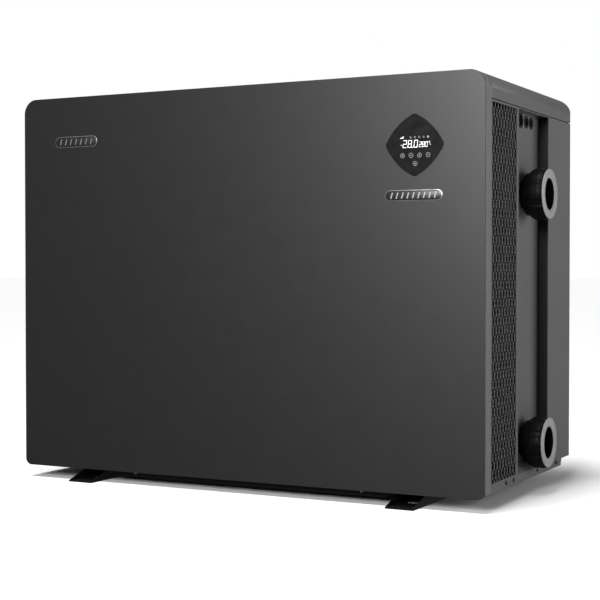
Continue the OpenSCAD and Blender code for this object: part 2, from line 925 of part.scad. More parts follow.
module exchanger_cap() {
    r = exchanger_r;
    color("#202326") in_cabinet() translate([exchanger_pos[0], exchanger_pos[1], 0])
        difference() {
            union() {
                bar_z([0, 0, exchanger_top], r + exchanger_rim, 8);
                bar_z([0, 0, exchanger_top + 8], r - 12, 6);
            }
            bar_z([0, 0, exchanger_top - 1], 6, 20);
        }
}

// Stack of turns that stands for the coiled titanium tube
module titanium_coil() {
    turns = 20;
    color("#a8a49c") in_cabinet() translate([exchanger_pos[0], exchanger_pos[1], 32])
        for (i = [0 : turns - 1]) translate([0, 0, i * 19])
            rotate_extrude($fn = 48) translate([34, 0]) circle(r = 6, $fn = 24);
}

// Moulded stub: neck through the recess, collar and threaded spigot
module stub(z) {
    x0 = exchanger_pos[0] + 52;
    collar_x = nut_x - 0.5 - stub_collar_l;
    spigot_x = union_x - socket_l - 2;
    color("#1a1a1a") in_cabinet() translate([0, water_y, z]) difference() {
        union() {
            bar_x([x0, 0, 0], neck_r, collar_x - x0);
            bar_x([collar_x, 0, 0], stub_collar_r, stub_collar_l);
            bar_x([collar_x, 0, 0], stub_thread_r, stub_face - collar_x);
            for (i = [0 : 2])
                bar_x([stub_face - 12 + i * 4, 0, 0], stub_thread_r + 0.5, 1.6);
        }
        bar_x([x0 - 1, 0, 0], bore_r, 100);
        bar_x([spigot_x - play, 0, 0], tail_r + 0.4, 60);
        tube_x([stub_face - 2 * o_ring_r, 0, 0], o_ring_at + o_ring_r, o_ring_at - o_ring_r,
            2 * o_ring_r + 1);
    }
}

module upper_stub() {
    stub(water_high_z);
}

module lower_stub() {
    stub(water_low_z);
}

// Nut with eight shallow grips, free to turn on its tail
module union_nut(z) {
    r = nut_d / 2;
    shoulder = 9;
    color("#141414") in_cabinet() translate([nut_x, water_y, z]) difference() {
        rotate([90, 0, 90]) linear_extrude(nut_l) difference() {
            circle(r = r, $fn = 96);
            for (a = [22.5 : 45 : 337.5]) rotate(a) translate([r + 10.4, 0]) circle(r = 12);
        }
        bar_x([-1, 0, 0], stub_thread_r + 0.9, nut_l - shoulder + 1);
        bar_x([-1, 0, 0], tail_r + play, nut_l + 2);
    }
}

module upper_union_nut() {
    union_nut(water_high_z);
}

module lower_union_nut() {
    union_nut(water_low_z);
}

// Grey tail: flange behind the nut's shoulder, pipe socket and flat face ring
module union_tail(z) {
    lead = 1.6;
    x0 = union_x - socket_l - 1.8;
    flange_x = stub_face + play;
    color("#8a8a8a") in_cabinet() translate([0, water_y, z]) difference() {
        union() {
            bar_x([x0, 0, 0], tail_r, union_x - face_t - x0);
            bar_x([flange_x, 0, 0], tail_flange_r, 2.4);
            bar_x([union_x - face_t, 0, 0], face_r, face_t);
        }
        bar_x([x0 - 1, 0, 0], bore_r, 10);
        bar_x([union_x - socket_l, 0, 0], socket_d / 2, socket_l + 1);
        translate([union_x - lead, 0, 0]) rotate([0, 90, 0])
            cylinder(r1 = socket_d / 2, r2 = socket_d / 2 + lead + 0.1, h = lead + 0.1);
    }
}

module upper_tail() {
    union_tail(water_high_z);
}

module lower_tail() {
    union_tail(water_low_z);
}

module union_o_rings() {
    color("#0c0c0c") in_cabinet() for (z = [water_low_z, water_high_z])
        translate([stub_face - o_ring_r, water_y, z]) rotate([0, 90, 0])
            rotate_extrude($fn = 96) translate([o_ring_at, 0]) circle(r = o_ring_r, $fn = 24);
}

// Paddle switch screwed into the heat exchanger's cap
module flow_switch() {
    p = exchanger_pos;
    color("#26292c") in_cabinet() translate([p[0], p[1], 0]) difference() {
        union() {
            bar_z([0, 0, exchanger_top + 14], 15, 34);
            bar_z([0, 0, paddle_pivot_z - 6], 5.9, exchanger_top + 16 - paddle_pivot_z + 6);
        }
        block([-3.2, -7, paddle_pivot_z - 8], [3.2, 7, paddle_pivot_z + 6]);
        bar_y([0, -8, paddle_pivot_z], 1.5 + run_gap, 16);
    }
}

module flow_paddle() {
    p = exchanger_pos;
    color("#d8d4c8") in_cabinet() translate([p[0], p[1], paddle_pivot_z]) {
        bar_y([0, -5.6, 0], 1.5, 11.2);
        bar_y([0, -4, 0], 2.2, 8);
        block([-0.8, -4, -34], [0.8, 4, 0]);
    }
}

// ---- electrics ---------------------------------------------------------------

module control_box() {
    x0 = partition_x + 8;
    x1 = recess_floor - sheet - 2;
    y1 = cab_d - 6;
    z1 = side_top - 3;
    t = 1.2;
    color("#9a9d9f") in_cabinet() difference() {
        block([x0, box_y, box_z], [x1, y1, z1]);
        block([x0 + t, box_y + t, box_z + t], [x1 - t, y1 - t, z1 + 1]);
        for (i = [0 : 1]) bar_y([x1 - 30 - i * 30, box_y - 2, z1 - 16], 8, 6);
    }
}

module control_board() {
    x0 = partition_x + 16;
    z = box_z + 7;
    color("#1f6b3a") in_cabinet() {
        block([x0, box_y + 8, z], [x0 + 168, box_y + 142, z + 1.6]);
        for (x = [0, 1], y = [0, 1])
            bar_z([x0 + 6 + x * 156, box_y + 14 + y * 122, box_z + 1.2], 3, z - box_z - 1.2);
    }
    color("#20242a") in_cabinet() translate([x0, box_y + 8, z + 1.6]) {
        for (i = [0 : 2]) bar_z([24 + i * 28, 22, 0], 11, 34);
        for (i = [0 : 3]) block([12 + i * 26, 112, 0], [30 + i * 26, 128, 14]);
        block([120, 86, 0], [152, 118, 4]);
    }
}

module heat_sink() {
    x0 = partition_x + 28;
    y0 = box_y + 52;
    z0 = box_z + 8.6;
    color("#b9bcbe") in_cabinet() {
        block([x0, y0, z0], [x0 + 80, y0 + 60, z0 + 6]);
        for (i = [0 : 9])
            block([x0 + i * 8.5, y0, z0 + 6], [x0 + i * 8.5 + 2, y0 + 60, z0 + 30]);
    }
}

module terminal_block() {
    x0 = recess_floor - 40;
    y0 = box_y + 20;
    z0 = box_z + 1.2;
    color("#e6e2d4") in_cabinet() difference() {
        block([x0, y0, z0], [x0 + 30, y0 + 96, z0 + 20]);
        for (i = [0 : 5]) {
            block([x0 - 1, y0 + 4 + i * 15.2, z0 + 6], [x0 + 10, y0 + 14 + i * 15.2, z0 + 16]);
            bar_z([x0 + 18, y0 + 9 + i * 15.2, z0 + 12], 4, 10);
        }
    }
}

module display_glass() {
    color("#2a2a2a") in_cabinet() translate([display_x, 0, display_z])
        front_sheet(-0.4, panel_t + 0.4) diamond(display_w);
}

module display_housing() {
    wall = 2;
    back = 22;
    color("#2a2a2a") in_cabinet() translate([display_x, 0, display_z]) difference() {
        front_sheet(panel_t, back - panel_t) diamond(display_w + 6);
        front_sheet(panel_t + wall, back - panel_t - 2 * wall) diamond(display_w);
    }
}

// ---- small parts -------------------------------------------------------------

module screw(at, along) {
    translate(at) rotate(along) {
        cylinder(r = screw_r, h = screw_h);
        translate([0, 0, -2.6]) cylinder(r = shank_r, h = 2.6);
    }
}

module casing_screws() {
    color("#c9ccce") in_cabinet() {
        for (y = side_screw_y) {
            screw([side_x, y, side_screw_z], [0, 90, 0]);
            screw([-side_x, y, side_screw_z], [0, -90, 0]);
        }
        for (x = [-apron_screw_x, apron_screw_x]) screw([x, frame_d + 0.5, apron_screw_z], [90, 0, 0]);
        for (x = rear_screw_x) screw([x, cab_d, side_screw_z], [-90, 0, 0]);
    }
}

module cable_grommets() {
    color("#0c0c0c") in_cabinet() for (i = [0 : 2])
        translate([recess_floor - sheet - 1, cable_y[i], cable_z]) difference() {
            union() {
                bar_x([0, 0, 0], cable_r[i] + grommet_t, sheet + 2);
                bar_x([0, 0, 0], cable_r[i] + 2 * grommet_t, 1);
                bar_x([sheet + 1, 0, 0], cable_r[i] + 2 * grommet_t, 1);
            }
            bar_x([-1, 0, 0], cable_r[i], 10);
        }
}

// Two blank plates on the front panel
module name_badges() {
    t = 0.6;
    color("#b9bcbe") in_cabinet() front_sheet(-t, t) {
        translate([-309.5, 552]) rounded_plate(86, 18);
        translate([306, 446.5]) rounded_plate(92, 16);
    }
}
module rounded_plate(w, h) {
    r = h / 2;
    rect([-w / 2 + r, -r], [w / 2 - r, r]);
    for (x = [-1, 1]) translate([x * (w / 2 - r), 0]) circle(r = r);
}

module condensate_drain() {
    color("#1a1a1a") in_cabinet() translate([drain_pos[0], drain_pos[1], 0]) {
        difference() {
            union() {
                bar_z([0, 0, -12], drain_r, side_low + 12);
                bar_z([0, 0, side_low], drain_r - 2, sheet);
            }
            bar_z([0, 0, -13], drain_r - 4, 30);
        }
    }
}

front_panel();
panel_gasket();
front_frame();
lid();
right_side_panel();
right_grille();
left_side_panel();
left_grille();
left_intake_guard();
rear_guard();
rear_panel();
base_pan();
left_foot();
right_foot();
bulkhead();
inlet_ring();
partition();
motor_bracket();
fan_motor();
fan_shaft();
impeller();
impeller_nut();
evaporator_fins();
evaporator_bends();
compressor_shell();
compressor_stator();
compressor_bearings();
compressor_rotor();
compressor_grommets();
accumulator();
reversing_valve();
reversing_slide();
expansion_valve();
expansion_needle();
valve_coils();
filter_drier();
refrigerant_pipes();
exchanger_shell();
exchanger_cap();
titanium_coil();
upper_stub();
lower_stub();
upper_union_nut();
lower_union_nut();
upper_tail();
lower_tail();
union_o_rings();
flow_switch();
flow_paddle();
control_box();
control_board();
heat_sink();
terminal_block();
display_glass();
display_housing();
casing_screws();
foot_bolts();
cable_grommets();
name_badges();
condensate_drain();
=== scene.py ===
"""Looks of a side-discharge pool heat pump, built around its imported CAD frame."""
import json
import math

import bmesh
import bpy
from mathutils import Matrix, Vector


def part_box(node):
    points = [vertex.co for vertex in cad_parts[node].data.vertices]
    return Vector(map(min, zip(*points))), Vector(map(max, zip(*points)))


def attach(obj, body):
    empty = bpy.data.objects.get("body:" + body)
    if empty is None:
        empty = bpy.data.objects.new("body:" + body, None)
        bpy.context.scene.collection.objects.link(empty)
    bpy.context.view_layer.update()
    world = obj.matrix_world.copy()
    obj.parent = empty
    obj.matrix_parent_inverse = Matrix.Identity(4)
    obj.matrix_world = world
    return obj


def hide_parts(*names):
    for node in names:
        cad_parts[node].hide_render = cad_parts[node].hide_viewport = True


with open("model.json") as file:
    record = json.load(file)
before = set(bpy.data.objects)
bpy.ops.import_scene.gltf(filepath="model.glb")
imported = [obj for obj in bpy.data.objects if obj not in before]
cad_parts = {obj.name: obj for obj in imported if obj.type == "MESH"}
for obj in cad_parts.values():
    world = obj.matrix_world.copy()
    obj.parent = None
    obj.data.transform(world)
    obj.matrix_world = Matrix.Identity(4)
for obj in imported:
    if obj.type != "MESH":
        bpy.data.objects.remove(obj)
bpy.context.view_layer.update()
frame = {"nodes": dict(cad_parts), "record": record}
NODES = frame["nodes"]

MM = 0.001
PANEL_LOW, PANEL_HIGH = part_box("front_panel")
CENTRE_X = (PANEL_LOW.x + PANEL_HIGH.x) / 2
FACE_Y = PANEL_LOW.y
SILL_Z = PANEL_LOW.z
MERGE = 0.01 * MM


def at(x, depth, z):
    """Point from millimetres right of, behind and above the middle of the front panel's lower edge."""
    return Vector((CENTRE_X + x * MM, FACE_Y + depth * MM, SILL_Z + z * MM))


# ---- material helpers ---------------------------------------------------------


class Finish:
    """A node material under construction: its shader, and the nodes that vary it over the surface."""

    def __init__(self, name, roughness, metallic=0.0, specular=0.5):
        self.material = bpy.data.materials.new(name)
        self.material.use_nodes = True
        self.nodes = self.material.node_tree.nodes
        self.links = self.material.node_tree.links
        self.shader = self.nodes["Principled BSDF"]
        self.shader.inputs["Roughness"].default_value = roughness
        self.shader.inputs["Metallic"].default_value = metallic
        self.shader.inputs["Specular IOR Level"].default_value = specular
        self.place = self.nodes.new("ShaderNodeTexCoord").outputs["Object"]

    def stretched(self, scale):
        """Object coordinates scaled by a different factor along each axis."""
        mapping = self.nodes.new("ShaderNodeMapping")
        mapping.inputs["Scale"].default_value = scale
        self.links.new(self.place, mapping.inputs["Vector"])
        return mapping.outputs["Vector"]

    def noise(self, scale, detail=3.0, roughness=0.5, place=None):
        node = self.nodes.new("ShaderNodeTexNoise")
        node.inputs["Scale"].default_value = scale
        node.inputs["Detail"].default_value = detail
        node.inputs["Roughness"].default_value = roughness
        self.links.new(place or self.place, node.inputs["Vector"])
        return node.outputs["Fac"]

    def cells(self, scale):
        node = self.nodes.new("ShaderNodeTexVoronoi")
        node.inputs["Scale"].default_value = scale
        self.links.new(self.place, node.inputs["Vector"])
        return node.outputs["Distance"]

    def ramp(self, value, stops):
        """Colour ramp through (position, colour) stops."""
        node = self.nodes.new("ShaderNodeValToRGB")
        elements = node.color_ramp.elements
        elements[0].position, elements[0].color = stops[0][0], (*stops[0][1], 1)
        elements[1].position, elements[1].color = stops[-1][0], (*stops[-1][1], 1)
        for position, colour in stops[1:-1]:
            elements.new(position).color = (*colour, 1)
        self.links.new(value, node.inputs["Fac"])
        return node.outputs["Color"]

    def span(self, value, low, high, start=0.3, end=0.7):
        """Maps a value between start and end onto low to high."""
        node = self.nodes.new("ShaderNodeMapRange")
        node.inputs["From Min"].default_value = start
        node.inputs["From Max"].default_value = end
        node.inputs["To Min"].default_value = low
        node.inputs["To Max"].default_value = high
        self.links.new(value, node.inputs["Value"])
        return node.outputs["Result"]

    def colour(self, socket):
        self.links.new(socket, self.shader.inputs["Base Color"])
        return self

    def rough(self, socket):
        self.links.new(socket, self.shader.inputs["Roughness"])
        return self

    def bump(self, height, strength, depth):
        """Surface relief of a given depth in metres."""
        node = self.nodes.new("ShaderNodeBump")
        node.inputs["Strength"].default_value = strength
        node.inputs["Distance"].default_value = depth
        before = self.shader.inputs["Normal"]
        if before.is_linked:
            self.links.new(before.links[0].from_socket, node.inputs["Normal"])
        self.links.new(height, node.inputs["Height"])
        self.links.new(node.outputs["Normal"], before)
        return self


def shades(colour, spread):
    """A darker, a plain and a lighter shade of one colour, as ramp stops."""
    return [
        (0.25, [c * (1 - spread) for c in colour]),
        (0.5, colour),
        (0.75, [min(1, c * (1 + spread)) for c in colour]),
    ]


def powder_coat(name, colour, roughness, specular=0.5, flake=0.0):
    """Baked powder paint: faint cloudy colour, orange peel, fine grain and slightly uneven gloss."""
    f = Finish(name, roughness, flake, specular)
    clouds = f.noise(6, 4)
    grain = f.noise(2600, 2)
    f.colour(f.ramp(clouds, shades(colour, 0.07)))
    f.rough(f.span(f.noise(38, 5, 0.6), roughness - 0.012, roughness + 0.014))
    f.bump(f.noise(420, 2), 0.10, 0.2 * MM)
    f.bump(grain, 0.12, 0.08 * MM)
    return f


# ---- materials ------------------------------------------------------------------


def panel_paint():
    f = powder_coat("panel_paint", (0.0040, 0.0041, 0.0042), 0.40, 0.80)
    return f.material


def cabinet_paint():
    f = powder_coat("cabinet_paint", (0.082, 0.083, 0.084), 0.46, 0.45, 0.10)
    return f.material


def frame_paint():
    f = powder_coat("frame_paint", (0.108, 0.109, 0.110), 0.42, 0.5, 0.10)
    return f.material


RECESS_END = 303            # depth of the recess's rear wall, in millimetres
SIDE_X = 418.5              # the right side's face, in millimetres from the centre
SHADE_FROM = 44 * MM        # where the shade starts, in front of the rear wall
SHADE_FULL = 8 * MM         # where it is fully dark


def recess_painted_shade():
    """Cabinet paint with a painted-in shade: near black on the recess's rear wall, fading out
    across the recess's floor."""
    f = powder_coat("recess_painted_shade", (0.082, 0.083, 0.084), 0.46, 0.45, 0.10)
    painted = f.shader.inputs["Base Color"].links[0].from_socket
    split = f.nodes.new("ShaderNodeSeparateXYZ")
    f.links.new(f.place, split.inputs["Vector"])
    rear_y = at(0, RECESS_END, 0).y
    near_corner = f.span(split.outputs["Y"], 0, 1, rear_y - SHADE_FROM, rear_y - SHADE_FULL)
    outer = at(SIDE_X, 0, 0).x
    inside = f.span(split.outputs["X"], 1, 0, outer - 1.2 * MM, outer - 0.8 * MM)
    in_front = f.span(split.outputs["Y"], 1, 0, rear_y + 0.2 * MM, rear_y + 0.4 * MM)
    shade = f.nodes.new("ShaderNodeMath")
    shade.operation = "MULTIPLY"
    f.links.new(near_corner, shade.inputs[0])
    f.links.new(inside, shade.inputs[1])
    behind = f.nodes.new("ShaderNodeMath")
    behind.operation = "MULTIPLY"
    f.links.new(shade.outputs["Value"], behind.inputs[0])
    f.links.new(in_front, behind.inputs[1])
    mix = f.nodes.new("ShaderNodeMix")
    mix.data_type = "RGBA"
    f.links.new(behind.outputs["Value"], mix.inputs["Factor"])
    colours = [i for i in mix.inputs if i.type == "RGBA"]
    f.links.new(painted, colours[0])
    # near-black painted shade, standing in for the shadow on the recess's rear wall and the floor in front
    # of it
    colours[1].default_value = (0.0025, 0.0025, 0.0025, 1)
    f.colour([o for o in mix.outputs if o.type == "RGBA"][0])
    return f.material


def grille_paint():
    f = powder_coat("grille_paint", (0.075, 0.076, 0.077), 0.45, 0.45)
    return f.material


def black_paint():
    f = powder_coat("black_paint", (0.004, 0.004, 0.004), 0.42, 0.22)
    return f.material


def seal_rubber():
    f = Finish("seal_rubber", 0.75, 0, 0.3)
    f.colour(f.ramp(f.noise(60, 4), shades((0.009, 0.009, 0.009), 0.3)))
    f.rough(f.span(f.noise(300, 3), 0.66, 0.85))
    f.bump(f.noise(1500, 3), 0.3, 0.15 * MM)
    return f.material


def galvanised_steel():
    f = Finish("galvanised_steel", 0.45, 0.9)
    spangle = f.cells(70)
    zinc = [(0.0, (0.42, 0.44, 0.46)), (0.5, (0.52, 0.54, 0.56)), (1.0, (0.34, 0.36, 0.38))]
    f.colour(f.ramp(spangle, zinc))
    f.rough(f.span(spangle, 0.34, 0.56, 0.1, 0.8))
    f.bump(f.noise(900, 2), 0.08, 0.1 * MM)
    return f.material


def cast_aluminium():
    f = Finish("cast_aluminium", 0.5, 0.85)
    f.colour(f.ramp(f.noise(40, 5), shades((0.50, 0.51, 0.52), 0.12)))
    f.rough(f.span(f.noise(200, 4), 0.42, 0.62))
    f.bump(f.noise(700, 4, 0.6), 0.35, 0.25 * MM)
    return f.material


def bright_steel():
    f = Finish("bright_steel", 0.28, 1.0)
    turned = f.noise(30, 2, 0.5, f.stretched((1, 60, 60)))
    f.colour(f.ramp(turned, shades((0.56, 0.57, 0.58), 0.08)))
    f.rough(f.span(turned, 0.22, 0.36))
    f.bump(turned, 0.05, 0.05 * MM)
    return f.material


def fan_plastic():
    f = Finish("fan_plastic", 0.5)
    f.colour(f.ramp(f.noise(20, 3), shades((0.020, 0.022, 0.024), 0.15)))
    f.rough(f.span(f.noise(120, 3), 0.44, 0.58))
    f.bump(f.noise(900, 2), 0.15, 0.1 * MM)
    return f.material


def fin_aluminium():
    f = Finish("fin_aluminium", 0.35, 0.9)
    f.colour(f.ramp(f.noise(12, 4), shades((0.50, 0.53, 0.56), 0.15)))
    f.rough(f.span(f.noise(90, 3), 0.28, 0.45))
    f.bump(f.noise(300, 2, 0.5, f.stretched((1, 1, 12))), 0.15, 0.2 * MM)
    return f.material


def copper():
    f = Finish("copper", 0.3, 1.0)
    tarnish = [(0.3, (0.42, 0.20, 0.11)), (0.5, (0.62, 0.31, 0.18)), (0.75, (0.70, 0.38, 0.24))]
    f.colour(f.ramp(f.noise(35, 5), tarnish))
    f.rough(f.span(f.noise(140, 4), 0.22, 0.42))
    f.bump(f.noise(500, 2), 0.06, 0.1 * MM)
    return f.material


def compressor_paint():
    f = powder_coat("compressor_paint", (0.012, 0.012, 0.013), 0.35, 0.5)
    return f.material


def winding_copper():
    f = Finish("winding_copper", 0.4, 0.8)
    strands = f.noise(60, 2, 0.5, f.stretched((30, 30, 1)))
    f.colour(f.ramp(strands, shades((0.45, 0.20, 0.09), 0.3)))
    f.bump(strands, 0.5, 0.4 * MM)
    return f.material


def valve_brass():
    f = Finish("valve_brass", 0.32, 1.0)
    f.colour(f.ramp(f.noise(50, 4), shades((0.55, 0.41, 0.18), 0.12)))
    f.rough(f.span(f.noise(160, 3), 0.25, 0.42))
    f.bump(f.noise(700, 2), 0.06, 0.1 * MM)
    return f.material


def coil_blue():
    f = Finish("coil_blue", 0.45)
    f.colour(f.ramp(f.noise(25, 3), shades((0.012, 0.035, 0.11), 0.12)))
    f.rough(f.span(f.noise(150, 3), 0.38, 0.54))
    f.bump(f.noise(800, 2), 0.15, 0.1 * MM)
    return f.material


def shell_plastic():
    f = Finish("shell_plastic", 0.45)
    f.colour(f.ramp(f.noise(18, 3), shades((0.014, 0.015, 0.017), 0.15)))
    f.rough(f.span(f.noise(120, 4), 0.38, 0.55))
    f.bump(f.noise(1100, 3), 0.2, 0.1 * MM)
    return f.material


def titanium():
    f = Finish("titanium", 0.35, 1.0)
    f.colour(f.ramp(f.noise(22, 4), shades((0.40, 0.38, 0.35), 0.12)))
    f.rough(f.span(f.noise(120, 3), 0.28, 0.45))
    f.bump(f.noise(600, 2), 0.05, 0.1 * MM)
    return f.material


def union_black():
    """Moulded black plastic with a fine spark-eroded grain."""
    f = Finish("union_black", 0.46, 0, 0.08)
    f.colour(f.ramp(f.noise(30, 4), shades((0.0030, 0.0030, 0.0031), 0.2)))
    f.rough(f.span(f.noise(160, 4), 0.34, 0.5))
    f.bump(f.noise(1800, 3), 0.22, 0.08 * MM)
    return f.material


def union_grey():
    """Pipe plastic, slightly chalky, in a light grey that is a painted reflection: it stands in for the
    bright light that the black plastic's faces catch.
    """
    f = Finish("union_grey", 0.5, 0, 0.4)
    f.colour(f.ramp(f.noise(45, 5), shades((0.200, 0.201, 0.203), 0.08)))
    f.rough(f.span(f.noise(220, 4), 0.42, 0.6))
    f.bump(f.noise(1400, 3), 0.15, 0.08 * MM)
    return f.material


def white_plastic():
    f = Finish("white_plastic", 0.4)
    f.colour(f.ramp(f.noise(30, 3), shades((0.62, 0.60, 0.54), 0.06)))
    f.rough(f.span(f.noise(150, 3), 0.34, 0.48))
    f.bump(f.noise(900, 2), 0.12, 0.1 * MM)
    return f.material


def circuit_green():
    f = Finish("circuit_green", 0.35)
    tracks = f.cells(260)
    solder_mask = [(0.1, (0.012, 0.10, 0.035)), (0.4, (0.02, 0.15, 0.05)), (0.8, (0.008, 0.07, 0.025))]
    f.colour(f.ramp(tracks, solder_mask))
    f.rough(f.span(tracks, 0.25, 0.5, 0.1, 0.8))
    f.bump(tracks, 0.2, 0.1 * MM)
    return f.material


def display_black():
    """Smoked touch glass: even, glossy and faintly mottled by its printed back."""
    f = Finish("display_black", 0.2, 0, 0.35)
    f.colour(f.ramp(f.noise(14, 3), shades((0.0060, 0.0060, 0.0062), 0.08)))
    f.rough(f.span(f.noise(90, 3), 0.17, 0.25))
    f.bump(f.noise(260, 2), 0.02, 0.05 * MM)
    return f.material


def badge_silver():
    f = Finish("badge_silver", 0.3, 0.9)
    brushed = f.noise(60, 3, 0.6, f.stretched((1, 1, 40)))
    f.colour(f.ramp(brushed, shades((0.55, 0.56, 0.57), 0.1)))
    f.rough(f.span(brushed, 0.24, 0.4))
    f.bump(brushed, 0.08, 0.05 * MM)
    return f.material


def badge_field():
    f = Finish("badge_field", 0.35)
    f.colour(f.ramp(f.noise(70, 3), shades((0.010, 0.010, 0.011), 0.15)))
    f.rough(f.span(f.noise(300, 3), 0.3, 0.42))
    f.bump(f.noise(900, 2), 0.08, 0.05 * MM)
    return f.material


def lit_segment(name, colour, strength):
    """Backlit segment of the display, faintly uneven."""
    f = Finish(name, 0.4)
    tone = f.ramp(f.noise(500, 2), shades(colour, 0.08))
    f.colour(tone)
    f.links.new(tone, f.shader.inputs["Emission Color"])
    f.shader.inputs["Emission Strength"].default_value = strength
    f.bump(f.noise(1500, 2), 0.05, 0.02 * MM)
    return f.material


MATERIALS = {
    make.__name__: make()
    for make in (
        panel_paint, cabinet_paint, frame_paint, recess_painted_shade, grille_paint, black_paint, seal_rubber,
        galvanised_steel, cast_aluminium, bright_steel, fan_plastic, fin_aluminium, copper,
        compressor_paint, winding_copper, valve_brass, coil_blue, shell_plastic, titanium,
        union_black, union_grey, white_plastic, circuit_green, display_black, badge_silver,
        badge_field,
    )
}


def dress_cad_nodes():
    """Every CAD node takes the material of its slot in the record."""
    for part in frame["record"]["subparts"]:
        node = NODES[part["node"]]
        node.data.materials.clear()
        node.data.materials.append(MATERIALS[part["material_slot"]])
    # the front frame takes the lighter frame paint; the right side panel takes cabinet paint with a painted
    # shade in its recess
    for name, material in (("front_frame", "frame_paint"), ("right_side_panel", "recess_painted_shade")):
        NODES[name].data.materials.clear()
        NODES[name].data.materials.append(MATERIALS[material])


def soften_edges(name, width, sharp=35):
    """Small rolled edges on a CAD node, by modifiers alone."""
    node = NODES[name]
    weld = node.modifiers.new("weld", "WELD")
    weld.merge_threshold = MERGE
    flat = node.modifiers.new("flat", "DECIMATE")
    flat.decimate_type = "DISSOLVE"
    flat.angle_limit = math.radians(0.5)
    edge = node.modifiers.new("edge", "BEVEL")
    edge.width = width
    edge.segments = 2
    edge.limit_method = "ANGLE"
    edge.angle_limit = math.radians(sharp)
    edge.use_clamp_overlap = True


# ---- mesh helpers -----------------------------------------------------------------


def piece(bm, name, body, materials, stands_for=(), smooth=35):
    """Makes a finished object of a bmesh, ties it to its body and hides the CAD nodes it stands for."""
    bmesh.ops.remove_doubles(bm, verts=bm.verts, dist=MERGE)
    bmesh.ops.recalc_face_normals(bm, faces=bm.faces)
    mesh = bpy.data.meshes.new(name)
    bm.to_mesh(mesh)
    bm.free()
    for material in materials:
        mesh.materials.append(MATERIALS[material])
    mesh.shade_smooth()
    mesh.set_sharp_from_angle(angle=math.radians(smooth))
    made = bpy.data.objects.new(name, mesh)
    bpy.context.scene.collection.objects.link(made)
    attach(made, body)
    if stands_for:
        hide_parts(*stands_for)
    return made


def add_rod(bm, start, end, radius, sides):
    """Round rod between two points."""
    along = end - start
    turn = along.to_track_quat("Z", "Y").to_matrix().to_4x4()
    return bmesh.ops.create_cone(
        bm, cap_ends=True, segments=sides, radius1=radius, radius2=radius, depth=along.length,
        matrix=Matrix.Translation((start + end) / 2) @ turn)["verts"]


def turned(bm, profile, centre, axis, steps=64, closed=True):
    """Spins an outline of (distance along the axis, radius) about the axis through centre."""
    axis = Vector(axis)
    side = Vector((0, 0, 1)) if abs(axis.z) < 0.5 else Vector((1, 0, 0))
    verts = [bm.verts.new(centre + axis * a + side * r) for a, r in profile]
    edges = [bm.edges.new(pair) for pair in zip(verts, verts[1:])]
    if closed:
        edges.append(bm.edges.new((verts[-1], verts[0])))
    bmesh.ops.spin(bm, geom=verts + edges, cent=centre, axis=axis, angle=math.tau,
                   steps=steps, use_merge=True)
    bmesh.ops.remove_doubles(bm, verts=bm.verts, dist=MERGE)


# ---- outlet strips -------------------------------------------------------------------

HOLE_PITCH = 13 * MM
ROW_STEP = 13.4 * MM
WEB_HALF = 3.73 * MM        # half the length of an upright web
HOLE_W = 11.9 * MM
HOLE_H = 16.4 * MM
FIRST_WEB = 1.3 * MM        # from the strip's edge to its first web
TOP_WEB = 0.6 * WEB_HALF    # length of the cut webs along the top edge
STRIP_T = 1.2 * MM


def perforated_strip(node, name, outward):
    """Punched sheet: a field of tall six-sided cells with oval holes, trimmed to the strip."""
    low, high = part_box(node)
    cols = math.ceil((high.y - low.y) / HOLE_PITCH) + 2
    rows = math.ceil((high.z - low.z) / ROW_STEP) + 2
    bm = bmesh.new()
    hole = bmesh.ops.create_circle(bm, segments=24, radius=0.5)["verts"]
    bmesh.ops.scale(bm, vec=(HOLE_W, HOLE_H, 1), verts=hole)
    rim = bmesh.ops.create_circle(bm, segments=6, radius=1)["verts"]
    for v in rim:
        side = round(v.co.x)
        v.co.x = side * HOLE_PITCH / 2
        v.co.y = math.copysign(WEB_HALF if side else ROW_STEP - WEB_HALF, v.co.y)
    rim_edges = list({e for v in rim for e in v.link_edges})
    bmesh.ops.subdivide_edges(bm, edges=rim_edges, cuts=3)
    bmesh.ops.bridge_loops(bm, edges=bm.edges)
    cell = bm.verts[:] + bm.edges[:] + bm.faces[:]
    for c in range(1, cols):
        copy = bmesh.ops.duplicate(bm, geom=cell)["geom"]
        moved = [v for v in copy if isinstance(v, bmesh.types.BMVert)]
        bmesh.ops.translate(bm, verts=moved, vec=(c * HOLE_PITCH, 0, 0))
    row = bm.verts[:] + bm.edges[:] + bm.faces[:]
    for r in range(1, rows):
        copy = bmesh.ops.duplicate(bm, geom=row)["geom"]
        moved = [v for v in copy if isinstance(v, bmesh.types.BMVert)]
        bmesh.ops.translate(bm, verts=moved, vec=(HOLE_PITCH / 2 * (r % 2), r * ROW_STEP, 0))
    bmesh.ops.remove_doubles(bm, verts=bm.verts, dist=MERGE)
    # across the strip, up it, and outwards
    shift_y = low.y + FIRST_WEB - HOLE_PITCH / 2
    shift_z = high.z - TOP_WEB - (rows - 1) * ROW_STEP
    outer_x = high.x if outward > 0 else low.x
    lay = Matrix(((0, 0, 1, outer_x), (1, 0, 0, shift_y), (0, 1, 0, shift_z), (0, 0, 0, 1)))
    bmesh.ops.transform(bm, verts=bm.verts, matrix=lay)
    for corner, normal in ((low, (0, -1, 0)), (low, (0, 0, -1)), (high, (0, 1, 0)), (high, (0, 0, 1))):
        everything = bm.verts[:] + bm.edges[:] + bm.faces[:]
        bmesh.ops.bisect_plane(bm, geom=everything, plane_co=corner, plane_no=normal,
                               clear_outer=True)
    bmesh.ops.recalc_face_normals(bm, faces=bm.faces)
    back = bmesh.ops.extrude_face_region(bm, geom=bm.faces[:])["geom"]
    moved = [v for v in back if isinstance(v, bmesh.types.BMVert)]
    bmesh.ops.translate(bm, verts=moved, vec=(-outward * STRIP_T, 0, 0))
    return piece(bm, name, "cabinet", ["grille_paint"], [node], 30)


# ---- wire guards ---------------------------------------------------------------------


